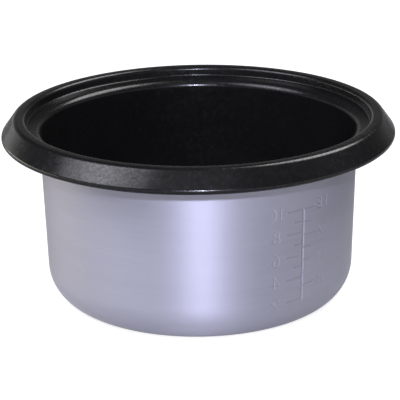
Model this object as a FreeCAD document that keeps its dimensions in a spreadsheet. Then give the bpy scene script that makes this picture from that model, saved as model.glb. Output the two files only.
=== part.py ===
import FreeCAD, Part
import os
import Sketcher

# Inner cooking pan of a drum-type rice cooker, in millimetres, Z up, standing on Z = 0.
# It is one round aluminium sheet, pressed to a pan with a stepped, turned-down rim, and the dark
# non-stick layer that the sheet carries on its cooking face. The cooking face of the sheet is drawn
# once, as a line in the X-Z plane: the sheet is its offset to the outside, the layer its offset to
# the inside, and both are turned about Z, so they seat face to face everywhere.

doc = FreeCAD.newDocument("cooking_pan")

# Driving sizes
sizes = {
    # sheet and layer
    "sheet_thickness": 1.5,
    "coat_thickness": 0.25,  # thicker than the real layer, which is about 0.05
    # base
    "dish_diameter": 120.0,  # shallow hollow that meets a slightly domed heating plate
    "dish_depth": 1.0,
    "base_corner_radius": 27.5,  # on the outside
    # wall: a straight cone that opens a little towards the mouth
    "mouth_diameter": 223.5,  # outside, where the lines of wall and ledge would meet
    "mouth_height": 125.8,
    "wall_taper": 4.5,  # on the radius, from the mouth down to the line of the base
    "brink_bend": 3.5,
    # ledge for the lid and the step around it
    "ledge_width": 10.5,
    "ledge_rise": 1.4,
    "step_foot_radius": 1.5,
    "step_run": 0.6,
    "step_rise": 6.75,
    "step_top_bend": 0.8,
    # crest, skirt and the hem turned under it
    "crest_width": 7.75,
    "crest_bend": 0.5,
    "skirt_run": 8.65,
    "skirt_drop": 12.0,
    "skirt_bend": 0.6,
    "hem_height": 2.95,
    "hem_bend": 0.6,
    "hem_return": 4.5,
}

dims = doc.addObject("Spreadsheet::Sheet", "dims")
for row, (alias, value) in enumerate(sizes.items(), start=1):
    dims.set(f"A{row}", alias.replace("_", " "))
    dims.set(f"B{row}", str(value))
    dims.setAlias(f"B{row}", alias)
doc.recompute()

# Corners of the cooking face from the edge of the dish outwards, each with its run and rise from
# the corner before it and the radius that rounds it. None is no run or no rise. A leading minus
# runs inwards or down. Bends have the sheet on their inner side, so its thickness adds to them.
corners = [
    ("foot", "(dims.mouth_diameter - dims.dish_diameter) / 2 - dims.wall_taper - dims.sheet_thickness", None,
     "dims.base_corner_radius - dims.sheet_thickness"),
    ("brink", "dims.wall_taper", "dims.mouth_height - dims.sheet_thickness",
     "dims.brink_bend + dims.sheet_thickness"),
    ("step_foot", "dims.ledge_width", "dims.ledge_rise", "dims.step_foot_radius"),
    ("step_top", "dims.step_run", "dims.step_rise", "dims.step_top_bend + dims.sheet_thickness"),
    ("crest", "dims.crest_width", None, "dims.crest_bend + dims.sheet_thickness"),
    ("skirt_foot", "dims.skirt_run", "-dims.skirt_drop", "dims.skirt_bend + dims.sheet_thickness"),
    ("hem", None, "-dims.hem_height", "dims.hem_bend + dims.sheet_thickness"),
    ("hem_end", "-dims.hem_return", None, None),
]
ORIGIN, VERTICAL_AXIS = (-1, 1), -2
START, END, CENTRE = range(1, 4)


def step(sketch, line, name, length, across):
    """Fix how far a line runs across or up, bound later to its named size."""
    if length is None:
        kind = "Vertical" if across else "Horizontal"
        sketch.addConstraint(Sketcher.Constraint(kind, line))
        return None
    kind = "DistanceX" if across else "DistanceY"
    ends = (line, END, line, START) if length.startswith("-") else (line, START, line, END)
    size = sketch.evalExpression(length.lstrip("-"))
    index = sketch.addConstraint(Sketcher.Constraint(kind, *ends, size))
    sketch.renameConstraint(index, name)
    return name, length.lstrip("-")


def named(sketch, name, size, kind, *geometry):
    """Add a dimension under its own name and say which expression drives it."""
    value = sketch.evalExpression(size)
    index = sketch.addConstraint(Sketcher.Constraint(kind, *geometry, value))
    sketch.renameConstraint(index, name)
    return name, size


def cooking_face():
    """The section line of the cooking face, from the axis to the end of the hem."""
    sketch = doc.addObject("Sketcher::SketchObject", "cooking_face")
    sketch.Placement = FreeCAD.Placement(FreeCAD.Vector(), FreeCAD.Rotation(FreeCAD.Vector(1, 0, 0), 90))
    x = sketch.evalExpression("dims.dish_diameter / 2")
    y = sketch.evalExpression("dims.sheet_thickness")
    dish_edge = FreeCAD.Vector(x, y, 0)
    bound = []
    at = dish_edge
    for line, (name, run, rise, _) in enumerate(corners):
        ahead = FreeCAD.Vector(
            at.x + (sketch.evalExpression(run) if run else 0),
            at.y + (sketch.evalExpression(rise) if rise else 0),
            0,
        )
        sketch.addGeometry(Part.LineSegment(at, ahead), False)
        if line:
            sketch.addConstraint(Sketcher.Constraint("Coincident", line - 1, END, line, START))
        bound.append(step(sketch, line, f"{name}_run", run, True))
        bound.append(step(sketch, line, f"{name}_rise", rise, False))
        at = ahead

    bound.append(named(sketch, "dish_edge", "dims.dish_diameter / 2", "DistanceX", *ORIGIN, 0, START))
    bound.append(named(sketch, "base_level", "dims.sheet_thickness", "DistanceY", *ORIGIN, 0, START))

    for line, (name, _, _, radius) in enumerate(corners):
        if radius:
            sketch.fillet(line, END, sketch.evalExpression(radius), True, True)
            arc = sketch.GeometryCount - 2
            bound.append(named(sketch, f"{name}_radius", radius, "Radius", arc))

    # The dish is part of a large sphere about the axis, flat where it crosses it.
    depth = sketch.evalExpression("dims.dish_depth")
    sphere = (x * x + depth * depth) / (2 * depth)
    top = FreeCAD.Vector(0, y + depth, 0)
    centre = FreeCAD.Vector(0, y + depth - sphere, 0)
    half_way = centre + (top - centre + dish_edge - centre).normalize() * sphere
    dish = sketch.addGeometry(Part.Arc(dish_edge, half_way, top), False)
    sketch.addConstraint(Sketcher.Constraint("Coincident", dish, START, 0, START))
    sketch.addConstraint(Sketcher.Constraint("PointOnObject", dish, END, VERTICAL_AXIS))
    sketch.addConstraint(Sketcher.Constraint("PointOnObject", dish, CENTRE, VERTICAL_AXIS))
    rise = "dims.sheet_thickness + dims.dish_depth"
    bound.append(named(sketch, "dish_top", rise, "DistanceY", *ORIGIN, dish, END))

    for name, expression in filter(None, bound):
        sketch.setExpression(f"Constraints.{name}", expression)
    return sketch


def turned_layer(label, face, thickness):
    """A layer on one side of the cooking face, turned about the pan's axis."""
    section = doc.addObject("Part::Offset2D", f"{label}_section")
    section.Source = face
    section.Mode = "Skin"
    section.Fill = True
    section.setExpression("Value", thickness)
    layer = doc.addObject("Part::Revolution", label)
    layer.Label = label
    layer.Source = section
    layer.Base = FreeCAD.Vector(0, 0, 0)
    layer.Axis = FreeCAD.Vector(0, 0, 1)
    layer.Angle = 360
    layer.Solid = True
    return layer


face = cooking_face()
doc.recompute()
parts = [
    turned_layer("pan_shell", face, "-dims.sheet_thickness"),
    turned_layer("nonstick_coat", face, "dims.coat_thickness"),
]
doc.recompute()

for thing in doc.Objects:
    if {"Invalid", "Error"} & set(thing.State):
        raise RuntimeError(f"{thing.Name} failed: {thing.State}")
for part in parts:
    if part.Shape.isNull() or not part.Shape.isValid() or len(part.Shape.Solids) != 1:
        raise RuntimeError(f"{part.Label} is not one valid solid")

os.makedirs("parts", exist_ok=True)
for part in parts:
    part.Shape.exportStep(f"parts/{part.Label}.step")
    box = part.Shape.optimalBoundingBox()
    print(f"{part.Label}: {box.XLength:.2f} x {box.YLength:.2f} x {box.ZLength:.2f} mm,"
          f" z {box.ZMin:.2f} to {box.ZMax:.2f}, {part.Shape.Volume / 1000:.1f} cm3")
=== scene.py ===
import cmath
import math
import bpy
import numpy as np
from mathutils import Matrix, Vector


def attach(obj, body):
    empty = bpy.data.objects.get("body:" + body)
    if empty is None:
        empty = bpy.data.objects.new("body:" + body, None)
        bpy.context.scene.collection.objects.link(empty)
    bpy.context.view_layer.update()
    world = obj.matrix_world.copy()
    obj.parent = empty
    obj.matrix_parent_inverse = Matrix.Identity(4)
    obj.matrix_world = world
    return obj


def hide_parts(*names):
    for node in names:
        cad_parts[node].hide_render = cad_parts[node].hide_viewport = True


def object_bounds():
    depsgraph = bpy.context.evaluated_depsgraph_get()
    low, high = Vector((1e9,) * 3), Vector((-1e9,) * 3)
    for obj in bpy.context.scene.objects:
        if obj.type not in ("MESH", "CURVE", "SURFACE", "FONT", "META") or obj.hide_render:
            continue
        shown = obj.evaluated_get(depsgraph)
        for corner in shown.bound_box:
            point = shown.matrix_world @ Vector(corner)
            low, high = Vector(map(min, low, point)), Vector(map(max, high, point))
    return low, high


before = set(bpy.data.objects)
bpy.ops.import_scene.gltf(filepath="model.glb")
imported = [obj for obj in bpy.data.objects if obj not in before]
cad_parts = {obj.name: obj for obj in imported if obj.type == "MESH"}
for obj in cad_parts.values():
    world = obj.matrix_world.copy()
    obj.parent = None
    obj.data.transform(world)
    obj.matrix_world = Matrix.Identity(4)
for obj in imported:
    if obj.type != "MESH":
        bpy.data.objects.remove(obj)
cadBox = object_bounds()
mm = 0.001  # sizes are in millimetres and angles in degrees unless a note says otherwise


def linearColour(code):
    parts = [int(code[i:i + 2], 16) / 255 for i in (1, 3, 5)]
    return [c / 12.92 if c <= 0.04045 else ((c + 0.055) / 1.055) ** 2.4 for c in parts] + [1.0]


def onlySelect(piece):
    bpy.ops.object.select_all(action="DESELECT")
    bpy.context.view_layer.objects.active = piece
    piece.select_set(True)


# the sheet's cooking face in section, from the axis to the end of the turned-under hem
section = {
    "sheet": 1.5,
    "coat": 0.25,
    "seam": 0.01,  # keeps the two pieces' hidden faces apart
    "dishRadius": 60.0,
    "dishDepth": 1.0,
    "dishRows": 10,
    "arcStep": 6.0,
    "rowHeight": 3.5,
    "corners": [  # run, rise and rounding of each corner after the dish's edge
        (45.75, 0.0, 26.0),  # foot of the wall
        (4.5, 124.3, 5.0),  # brink of the lid's ledge
        (10.5, 1.4, 1.5),  # foot of the step
        (0.6, 6.75, 2.3),  # top of the step
        (7.75, 0.0, 3.6),  # crest
        (8.65, -12.0, 2.6),  # foot of the skirt
        (0.0, -2.95, 2.1),  # hem
        (-4.5, 0.0, 0.0),  # end of the hem
    ],
    "turnSteps": 192,
    "mergeWithin": 0.002,
    "smoothAngle": 60.0,
}


def sectionLine():
    s = section
    sphere = (s["dishRadius"] ** 2 + s["dishDepth"] ** 2) / (2 * s["dishDepth"])
    line = []  # pairs of a point, radius + height * 1j, and the way the face looks there
    for row in range(s["dishRows"] + 1):
        radius = s["dishRadius"] * row / s["dishRows"]
        drop = sphere - math.sqrt(sphere ** 2 - radius ** 2)
        tilt = math.asin(radius / sphere) if row < s["dishRows"] else 0.0  # flat from the edge on
        point = complex(radius, s["sheet"] + s["dishDepth"] - drop)
        line.append((point, 1j * cmath.exp(-1j * tilt)))
    corner = line[-1][0]
    runs = [complex(run, rise) for run, rise, _ in s["corners"]]
    ways = [run / abs(run) for run in runs]
    for index, (_, _, rounding) in enumerate(s["corners"]):
        way = ways[index]
        ahead = ways[index + 1] if rounding else way
        turn = cmath.phase(ahead / way)
        corner += runs[index]
        start = corner - way * rounding * math.tan(abs(turn) / 2)
        last = line[-1][0]
        rows = max(1, round(abs(start - last) / s["rowHeight"]))
        line += [(last + (start - last) * row / rows, 1j * way) for row in range(1, rows + 1)]
        if rounding:
            side = math.copysign(rounding, turn)
            byAngle = abs(math.degrees(turn)) / s["arcStep"]
            byLength = rounding * abs(turn) / s["rowHeight"]
            rows = math.ceil(max(byAngle, byLength))
            for row in range(1, rows + 1):
                bent = way * cmath.exp(1j * turn * row / rows)
                line.append((start + 1j * side * (way - bent), 1j * bent))
    return line


cookingFace = sectionLine()


def layerSection(low, high):
    under = [point + look * low for point, look in cookingFace]
    over = [point + look * high for point, look in cookingFace]
    return under + over[::-1]


def turnedPiece(name, outline):
    bpy.ops.object.select_all(action="DESELECT")
    bpy.ops.mesh.primitive_plane_add(size=mm)
    piece = bpy.context.object
    piece.name = name
    bpy.ops.object.mode_set(mode="EDIT")
    bpy.ops.mesh.select_all(action="SELECT")
    bpy.ops.mesh.merge(type="CENTER")
    bpy.ops.transform.translate(value=(outline[0].real * mm, 0, outline[0].imag * mm))
    for start, end in zip(outline, outline[1:]):
        step = end - start
        move = (step.real * mm, 0, step.imag * mm)
        bpy.ops.mesh.extrude_region_move(TRANSFORM_OT_translate={"value": move})
    bpy.ops.mesh.select_all(action="SELECT")
    bpy.ops.mesh.spin(steps=section["turnSteps"], angle=math.tau, center=(0, 0, 0), axis=(0, 0, 1))
    bpy.ops.mesh.select_all(action="SELECT")
    bpy.ops.mesh.remove_doubles(threshold=section["mergeWithin"] * mm)
    bpy.ops.mesh.normals_make_consistent(inside=False)
    bpy.ops.object.mode_set(mode="OBJECT")
    return piece


panShell = turnedPiece("panShell", layerSection(-section["sheet"], 0.0))
print("pan turned", len(panShell.data.polygons))
nonstickCoat = turnedPiece("nonstickCoat", layerSection(section["seam"], section["coat"]))
print("coat turned", len(nonstickCoat.data.polygons))

# level scale pressed into the wall from outside, to be read on the inside
levelScale = {
    "azimuth": 39.3,  # from the front towards +X
    "topLevel": 91.1,
    "lineTop": -1.0,  # from the top level
    "lineLength": 64.0,
    "lineStroke": (0.78, 0.6, 0.55),  # half width, softness of the edge, depth
    "tickStroke": (0.44, 0.38, 0.42),
    "rows": {
        "cups": {
            "side": 1,
            "marks": 9,
            "rise": 8.13,
            "top": 10,  # cups at the top level
            "step": 1,
            "decimals": 0,
            "tick": 7.0,
            "evenTick": 13.0,
            "column": 22.4,  # from the line to the middle of the numerals
            "labelRise": -0.4,
            "numeral": 8.2,  # height
            "stroke": (0.44, 0.38, 0.24),
        },
        "litres": {
            "side": -1,
            "marks": 7,
            "rise": 9.25,
            "top": 1.8,
            "step": 0.2,
            "decimals": 1,
            "tick": 6.9,
            "evenTick": 11.0,
            "column": 19.0,
            "labelRise": 0.6,
            "numeral": 7.0,
            "stroke": (0.44, 0.38, 0.42),
        },
    },
    "numeralStep": 0.78,  # advance, in heights
    "pointStep": 0.26,
    "numeralGap": 0.22,  # free part of the advance
    "bowPoints": 17,
    "patch": (-27.0, 27.0, 18.5, 98.5),  # across and up, around the scale
    "cuts": 10,
    "wall": (10.0, 112.0, 90.0),  # lowest, highest and innermost point of the wall in the section
    "facing": 0.5,  # how straight a face of the patch looks out or in, at least
}

# strokes of the numerals in a box 0.56 wide and 1 high: runs of points,
# or bows with centre, radii and angles
bow = "bow"
numerals = {
    "0": [(bow, 0.28, 0.5, 0.28, 0.5, 0, 360)],
    "1": [[(0.28, 0.0), (0.28, 1.0), (0.12, 0.84)]],
    "2": [(bow, 0.28, 0.72, 0.28, 0.28, 160, -35), [(0.51, 0.56), (0.0, 0.0), (0.56, 0.0)]],
    "4": [[(0.44, 0.0), (0.44, 1.0), (0.0, 0.3), (0.58, 0.3)]],
    "6": [(bow, 0.28, 0.3, 0.28, 0.3, 0, 360), (bow, 0.62, 0.3, 0.62, 0.72, 180, 105)],
    "8": [(bow, 0.28, 0.25, 0.28, 0.25, 0, 360), (bow, 0.28, 0.75, 0.24, 0.25, 0, 360)],
    ".": [[(0.05, 0.0), (0.05, 0.04)]],
}


def numeralStrokes(text, middle, level, height):
    s = levelScale
    steps = [s["pointStep"] if sign == "." else s["numeralStep"] for sign in text]
    across = middle - (sum(steps) - s["numeralGap"]) * height / 2
    up = level - height / 2
    strokes = []
    for sign, step in zip(text, steps):
        for stroke in numerals[sign]:
            if stroke[0] == bow:
                cx, cy, rx, ry, first, last = stroke[1:]
                angles = np.radians(np.linspace(first, last, s["bowPoints"]))
                stroke = [(cx + rx * math.cos(a), cy + ry * math.sin(a)) for a in angles]
            strokes.append([(across + x * height, up + y * height) for x, y in stroke])
        across += step * height
    return strokes


def scaleStrokes():
    s = levelScale
    lineTop = s["topLevel"] + s["lineTop"]
    line = [(0.0, lineTop), (0.0, lineTop - s["lineLength"])]
    ticks = []
    groups = [(s["lineStroke"], [line]), (s["tickStroke"], ticks)]
    for row in s["rows"].values():
        labels = []
        for mark in range(row["marks"]):
            level = s["topLevel"] - mark * row["rise"]
            even = mark % 2 == 0
            length = row["evenTick"] if even else row["tick"]
            ticks.append([(0.0, level), (row["side"] * length, level)])
            if even:
                text = f"{row['top'] - row['step'] * mark:.{row['decimals']}f}"
                middle = row["side"] * row["column"]
                labels += numeralStrokes(text, middle, level + row["labelRise"], row["numeral"])
        groups.append((row["stroke"], labels))
    return groups


def strokeDistance(stroke, across, up):
    nearest = np.full(len(across), np.inf)
    for (x, y), (endX, endY) in zip(stroke, stroke[1:]):
        runX = endX - x
        runY = endY - y
        along = ((across - x) * runX + (up - y) * runY) / (runX ** 2 + runY ** 2)
        along = np.clip(along, 0, 1)
        nearest = np.minimum(nearest, np.hypot(across - x - along * runX, up - y - along * runY))
    return nearest


def pressScale(piece, inward):
    s = levelScale
    side = section["coat"] if inward else -section["sheet"]
    face = [point + look * side for point, look in cookingFace]
    lowest, highest, innermost = s["wall"]
    wall = [p for p in face if lowest < p.imag < highest and p.real > innermost]
    wallRadius = np.array([p.real for p in wall])
    wallHeight = np.array([p.imag for p in wall])

    def onWall(points):
        angle = np.arctan2(points[:, 0], -points[:, 1])
        across = (math.radians(s["azimuth"]) - angle) * wallRadius.max()  # as the inside reader sees it
        return across, points[:, 2] / mm, angle

    mesh = piece.data
    centres = np.array([tuple(polygon.center) for polygon in mesh.polygons])
    looks = np.array([tuple(polygon.normal) for polygon in mesh.polygons])
    across, up, angle = onWall(centres)
    outward = looks[:, 0] * np.sin(angle) - looks[:, 1] * np.cos(angle)
    left, right, bottom, top = s["patch"]
    patch = (across > left) & (across < right) & (up > bottom) & (up < top)
    patch &= (outward < -s["facing"]) if inward else (outward > s["facing"])
    onlySelect(piece)
    bpy.ops.object.mode_set(mode="EDIT")
    bpy.context.tool_settings.mesh_select_mode = (False, False, True)
    bpy.ops.mesh.select_all(action="DESELECT")
    bpy.ops.object.mode_set(mode="OBJECT")
    mesh.polygons.foreach_set("select", patch)
    bpy.ops.object.mode_set(mode="EDIT")
    bpy.ops.mesh.subdivide(number_cuts=s["cuts"])
    bpy.ops.object.mode_set(mode="OBJECT")

    picked = sorted({v for polygon in mesh.polygons if polygon.select for v in polygon.vertices})
    across, up, angle = onWall(np.array([tuple(mesh.vertices[v].co) for v in picked]))
    pressed = np.zeros(len(picked))
    for (half, soft, depth), strokes in scaleStrokes():
        nearest = np.min([strokeDistance(stroke, across, up) for stroke in strokes], axis=0)
        edge = np.clip((nearest - half + soft) / (2 * soft), 0, 1)
        pressed = np.maximum(pressed, depth * (1 - edge * edge * (3 - 2 * edge)))
    target = (np.interp(up, wallHeight, wallRadius) - pressed) * mm
    for v, radius, turn in zip(picked, target, angle):
        mesh.vertices[v].co.x = radius * math.sin(turn)
        mesh.vertices[v].co.y = -radius * math.cos(turn)
    mesh.update()


for piece, inward in ((panShell, False), (nonstickCoat, True)):
    pressScale(piece, inward)
    onlySelect(piece)
    bpy.ops.object.shade_smooth_by_angle(angle=math.radians(section["smoothAngle"]))
    print("scale pressed", piece.name, len(piece.data.polygons))


def addNode(tree, kind, settings=None, links=None):
    node = tree.nodes.new(kind)
    for name, value in (settings or {}).items():
        if isinstance(name, str) and hasattr(node, name):
            setattr(node, name, value)
        else:
            node.inputs[name].default_value = value
    for name, socket in (links or {}).items():
        tree.links.new(socket, node.inputs[name])
    return node.outputs


def newMaterial(name):
    material = bpy.data.materials.new(name)
    material.use_nodes = True
    material.node_tree.nodes.clear()
    return material, material.node_tree


multiply = {"operation": "MULTIPLY"}  # settings that several nodes share
larger = {"operation": "MAXIMUM"}
smooth = {"interpolation_type": "SMOOTHSTEP"}

# bare aluminium sheet brushed on the lathe: fine rings round the axis spread each light into an
# upright streak, and the roughened skin scatters a share of it softly
brushedSheet = {
    "tints": {"Color1": linearColour("#a5a5b0"), "Color2": linearColour("#aaaab5")},
    "roughness": {"From Min": 0.3, "From Max": 0.7, "To Min": 0.48, "To Max": 0.59},
    "gloss": {"Metallic": 0.84, "Anisotropic": 0.69, "Anisotropic Rotation": 0.25},
    "scratch": (0.35, 60.0),  # pitch and length of arc; real scratches are finer, about 0.1
    "band": (9.0, 90.0),
    "wallRadius": 110.0,  # where the arcs have that length
    "bump": {"Strength": 0.02, "Distance": 0.05 * mm},
}


def latheBrushedAluminium():
    s = brushedSheet
    material, tree = newMaterial("latheBrushedAluminium")
    place = addNode(tree, "ShaderNodeTexCoord")["Object"]
    flat = addNode(tree, "ShaderNodeVectorMath", {**multiply, 1: (1, 1, 0)}, {0: place})["Vector"]
    radius = addNode(tree, "ShaderNodeVectorMath", {"operation": "LENGTH"}, {0: flat})["Value"]
    height = addNode(tree, "ShaderNodeSeparateXYZ", links={"Vector": place})["Z"]
    along = addNode(tree, "ShaderNodeMath", {"operation": "ADD"}, {0: radius, 1: height})["Value"]
    around = addNode(tree, "ShaderNodeVectorMath", {"operation": "NORMALIZE"}, {0: flat})["Vector"]

    def rings(pitch, arc):  # noise drawn out round the axis
        stretch = {"operation": "SCALE", "Scale": s["wallRadius"] / arc}
        turn = addNode(tree, "ShaderNodeVectorMath", stretch, {0: around})["Vector"]
        rise = addNode(tree, "ShaderNodeMath", {"operation": "DIVIDE", 1: pitch * mm}, {0: along})["Value"]
        lift = addNode(tree, "ShaderNodeCombineXYZ", links={"Z": rise})["Vector"]
        spot = addNode(tree, "ShaderNodeVectorMath", {"operation": "ADD"}, {0: turn, 1: lift})["Vector"]
        return addNode(tree, "ShaderNodeTexNoise", {"Scale": 1.0, "Detail": 2.0}, {"Vector": spot})["Fac"]

    scratches = rings(*s["scratch"])
    bands = rings(*s["band"])
    links = {
        "Base Color": addNode(tree, "ShaderNodeMixRGB", s["tints"], {"Fac": bands})["Color"],
        "Roughness": addNode(tree, "ShaderNodeMapRange", s["roughness"], {"Value": scratches})["Result"],
        "Normal": addNode(tree, "ShaderNodeBump", s["bump"], {"Height": scratches})["Normal"],
        "Tangent": addNode(tree, "ShaderNodeTangent", {"direction_type": "RADIAL", "axis": "Z"})["Tangent"],
    }
    shader = addNode(tree, "ShaderNodeBsdfPrincipled", s["gloss"], links)["BSDF"]
    addNode(tree, "ShaderNodeOutputMaterial", links={"Surface": shader})
    return material


# sprayed and baked fluoropolymer: near black, a satin gloss, and a fine orange peel and grain that fray
# the highlights
sprayedCoat = {
    "tints": {"Color1": linearColour("#090909"), "Color2": linearColour("#0f0f0f")},
    "roughness": {"From Min": 0.35, "From Max": 0.7, "To Min": 0.19, "To Max": 0.29},
    "gloss": {"From Min": 0.35, "From Max": 0.65, "To Min": 0.37, "To Max": 0.63},
    "ior": 1.34,
    "cloud": {"Scale": 1 / (28 * mm), "Detail": 3.0},
    "peel": {"Scale": 1 / (3.5 * mm), "Detail": 4.0},
    "grain": {"Scale": 1 / (1.3 * mm), "Detail": 2.0},  # the real grain is finer, about 0.3
    "bump": {"Strength": 0.14, "Distance": 0.06 * mm},
}


def sprayedNonstick():
    s = sprayedCoat
    material, tree = newMaterial("sprayedNonstick")
    place = addNode(tree, "ShaderNodeTexCoord")["Object"]
    cloud = addNode(tree, "ShaderNodeTexNoise", s["cloud"], {"Vector": place})["Fac"]
    peel = addNode(tree, "ShaderNodeTexNoise", s["peel"], {"Vector": place})["Fac"]
    grain = addNode(tree, "ShaderNodeTexNoise", s["grain"], {"Vector": place})["Fac"]
    links = {
        "Base Color": addNode(tree, "ShaderNodeMixRGB", s["tints"], {"Fac": cloud})["Color"],
        "Roughness": addNode(tree, "ShaderNodeMapRange", s["roughness"], {"Value": peel})["Result"],
        "Specular IOR Level": addNode(tree, "ShaderNodeMapRange", s["gloss"], {"Value": grain})["Result"],
        "Normal": addNode(tree, "ShaderNodeBump", s["bump"], {"Height": peel})["Normal"],
    }
    shader = addNode(tree, "ShaderNodeBsdfPrincipled", {"IOR": s["ior"]}, links)["BSDF"]
    addNode(tree, "ShaderNodeOutputMaterial", links={"Surface": shader})
    return material


for piece, material, node, slot in (
    (panShell, latheBrushedAluminium(), "pan_shell", "brushed_aluminium"),
    (nonstickCoat, sprayedNonstick(), "nonstick_coat", "nonstick_coating"),
):
    piece.data.materials.append(material)
    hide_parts(node)
    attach(piece, "root")
print("pieces dressed")

# paper sweep, in metres: it keeps the pan's shadow and glows white to the camera; to mirror rays it glows
# as painted light where it lies well in front of the pan and, much fainter, close around its foot, and not
# elsewhere, which is painted shade on the paper near, beside and behind the pan
sweep = {
    "sides": 96,
    "radius": 6.0,
    "paper": linearColour("#9a9a9a"),
    "cameraGlow": 0.8,
    "farGlow": {"From Min": 0.35, "From Max": 0.9, "To Max": 0.8},  # by distance from the axis
    "inFront": {"From Min": 0.1, "From Max": -0.4},  # by Y
    "footGlow": {"From Min": 0.2, "From Max": 0.13, "To Max": 0.25},  # by distance
}


def paperWithPaintedGlow():
    material, tree = newMaterial("paperWithPaintedGlow")
    rays = addNode(tree, "ShaderNodeLightPath")
    mirrorRays = {0: rays["Is Glossy Ray"], 1: rays["Is Transmission Ray"]}
    mirrored = addNode(tree, "ShaderNodeMath", larger, mirrorRays)["Value"]
    place = addNode(tree, "ShaderNodeTexCoord")["Object"]
    away = addNode(tree, "ShaderNodeVectorMath", {"operation": "LENGTH"}, {0: place})["Value"]
    depth = addNode(tree, "ShaderNodeSeparateXYZ", links={"Vector": place})["Y"]
    # painted light and shade seen only in the pan's reflections: glow far in front and round the foot, none
    # in between or behind
    far = addNode(tree, "ShaderNodeMapRange", sweep["farGlow"], {"Value": away})["Result"]
    front = addNode(tree, "ShaderNodeMapRange", sweep["inFront"], {"Value": depth})["Result"]
    farFront = addNode(tree, "ShaderNodeMath", multiply, {0: far, 1: front})["Value"]
    foot = addNode(tree, "ShaderNodeMapRange", sweep["footGlow"], {"Value": away})["Result"]
    shown = addNode(tree, "ShaderNodeMath", larger, {0: farFront, 1: foot})["Value"]
    mirror = addNode(tree, "ShaderNodeMath", multiply, {0: mirrored, 1: shown})["Value"]
    direct = {**multiply, 1: sweep["cameraGlow"]}
    seen = addNode(tree, "ShaderNodeMath", direct, {0: rays["Is Camera Ray"]})["Value"]
    strength = addNode(tree, "ShaderNodeMath", larger, {0: seen, 1: mirror})["Value"]
    paper = addNode(tree, "ShaderNodeBsdfDiffuse", {"Color": sweep["paper"]})["BSDF"]
    glow = addNode(tree, "ShaderNodeEmission", links={"Strength": strength})["Emission"]
    shader = addNode(tree, "ShaderNodeAddShader", links={0: paper, 1: glow})["Shader"]
    addNode(tree, "ShaderNodeOutputMaterial", links={"Surface": shader})
    return material


bpy.ops.object.select_all(action="DESELECT")
bpy.ops.mesh.primitive_circle_add(vertices=sweep["sides"], radius=sweep["radius"], fill_type="NGON")
floor = bpy.context.object
floor.name = "floor"
floor.data.materials.append(paperWithPaintedGlow())
print("floor laid")

# the camera sees a white backdrop; the metal mirrors a grey room, dimmer behind the pan, with a white
# band low down in front and another at the left behind; ranges are of the direction looked in
studio = {
    "white": linearColour("#ffffff"),
    "room": {"Color1": linearColour("#707074"), "Color2": linearColour("#3c3c3e")},  # front, behind
    "behind": {**smooth, "From Min": -0.1, "From Max": 0.8},  # by Y
    "ahead": {**smooth, "From Min": 0.5, "From Max": -0.1, "To Max": 0.9},
    "leftward": {"From Min": 0.9, "From Max": -0.6},  # by X
    "lowBehind": {**smooth, "From Min": 0.34, "From Max": 0.0},  # by Z
    "lowAhead": {**smooth, "From Min": 0.36, "From Max": 0.05},
}


def studioWorld():
    world = bpy.data.worlds.new("studio")
    world.use_nodes = True
    tree = world.node_tree
    tree.nodes.clear()
    direction = addNode(tree, "ShaderNodeTexCoord")["Generated"]
    way = addNode(tree, "ShaderNodeSeparateXYZ", links={"Vector": direction})
    behind = addNode(tree, "ShaderNodeMapRange", studio["behind"], {"Value": way["Y"]})["Result"]
    lowBehind = addNode(tree, "ShaderNodeMapRange", studio["lowBehind"], {"Value": way["Z"]})["Result"]
    leftward = addNode(tree, "ShaderNodeMapRange", studio["leftward"], {"Value": way["X"]})["Result"]
    lowLeft = addNode(tree, "ShaderNodeMath", multiply, {0: lowBehind, 1: leftward})["Value"]
    backBand = addNode(tree, "ShaderNodeMath", multiply, {0: lowLeft, 1: behind})["Value"]
    ahead = addNode(tree, "ShaderNodeMapRange", studio["ahead"], {"Value": way["Y"]})["Result"]
    lowAhead = addNode(tree, "ShaderNodeMapRange", studio["lowAhead"], {"Value": way["Z"]})["Result"]
    frontBand = addNode(tree, "ShaderNodeMath", multiply, {0: lowAhead, 1: ahead})["Value"]
    band = addNode(tree, "ShaderNodeMath", larger, {0: backBand, 1: frontBand})["Value"]
    white = {"Color2": studio["white"]}
    room = addNode(tree, "ShaderNodeMixRGB", studio["room"], {"Fac": behind})["Color"]
    banded = addNode(tree, "ShaderNodeMixRGB", white, {"Fac": band, "Color1": room})["Color"]
    cameraRay = addNode(tree, "ShaderNodeLightPath")["Is Camera Ray"]
    shade = addNode(tree, "ShaderNodeMixRGB", white, {"Fac": cameraRay, "Color1": banded})["Color"]
    background = addNode(tree, "ShaderNodeBackground", links={"Color": shade})["Background"]
    addNode(tree, "ShaderNodeOutputWorld", links={"Surface": background})
    return world


bpy.context.scene.world = studioWorld()
print("room set")

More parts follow.
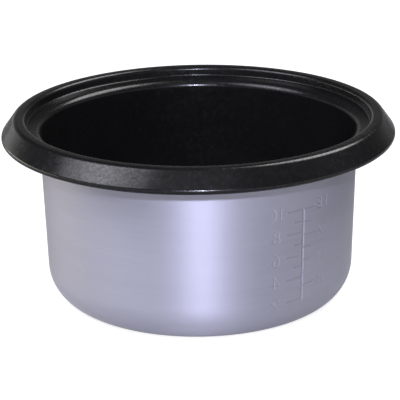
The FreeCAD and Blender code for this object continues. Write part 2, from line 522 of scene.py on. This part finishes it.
# azimuth from the front towards +X, elevation, then distance, width and height in metres, watts, colour
lamps = {
    "frontLamp": (1.5, 25.7, 1.7, 0.09, 0.09, 31.0, "#e4e4ff"),
    "frontStrip": (1.5, 25.7, 1.75, 0.65, 0.09, 3.0, "#e4e4ff"),
    "leftSoftbox": (-67.5, 46.0, 1.3, 1.06, 1.06, 13.8, "#f4f4ff"),
    "leftCore": (-68.0, 46.0, 1.28, 0.5, 0.5, 3.1, "#f4f4ff"),
    "leftStrip": (-108.0, 3.0, 1.6, 1.8, 0.2, 6.0, "#fff6e0"),
    "rightSoftbox": (122.0, 54.0, 1.4, 0.95, 0.95, 20.0, "#ffffff"),
    "topSoftbox": (-5.0, 62.0, 1.8, 1.4, 1.4, 1.8, "#ffffff"),
}
panMiddle = Vector((0, 0, (cadBox[0][2] + cadBox[1][2]) / 2))


def polar(azimuth, elevation, distance):
    a = math.radians(azimuth)
    e = math.radians(elevation)
    return Vector((math.sin(a) * math.cos(e), -math.cos(a) * math.cos(e), math.sin(e))) * distance


for name, (azimuth, elevation, distance, width, height, watts, colour) in lamps.items():
    bpy.ops.object.select_all(action="DESELECT")
    stand = panMiddle + polar(azimuth, elevation, distance)
    aimed = (panMiddle - stand).to_track_quat("-Z", "Y").to_euler()
    bpy.ops.object.light_add(type="AREA", location=stand, rotation=aimed)
    lamp = bpy.context.object
    lamp.name = name
    lamp.data.shape = "ELLIPSE"
    lamp.data.size = width
    lamp.data.size_y = height
    lamp.data.energy = watts
    lamp.data.color = linearColour(colour)[:3]
print("lamps set")

view = {
    "elevation": 18.785,
    "distance": 1540.0,
    "target": 67.9,  # height on the axis that the camera circles
    "right": 0.493,  # how far beside and above that point it aims
    "up": 1.35,
    "roll": -0.86,
    "lens": 195.08,
    "sensor": 36.0,
    "clipEnd": 50000.0,
}
tilt = math.radians(view["elevation"])
eye = Vector((0, 0, view["target"])) + polar(0, view["elevation"], view["distance"])
aim = Vector((view["right"], view["up"] * math.sin(tilt), view["target"] + view["up"] * math.cos(tilt)))
level = (aim - eye).to_track_quat("-Z", "Y").to_matrix()
bpy.ops.object.select_all(action="DESELECT")
bpy.ops.object.camera_add(location=eye * mm)
camera = bpy.context.object
camera.rotation_euler = (level @ Matrix.Rotation(math.radians(view["roll"]), 3, "Z")).to_euler()
camera.data.lens = view["lens"]
camera.data.sensor_width = view["sensor"]
camera.data.clip_end = view["clipEnd"] * mm
camera.data.dof.use_dof = False
bpy.context.scene.camera = camera
bpy.context.scene.view_settings.view_transform = "Standard"
print("camera set")
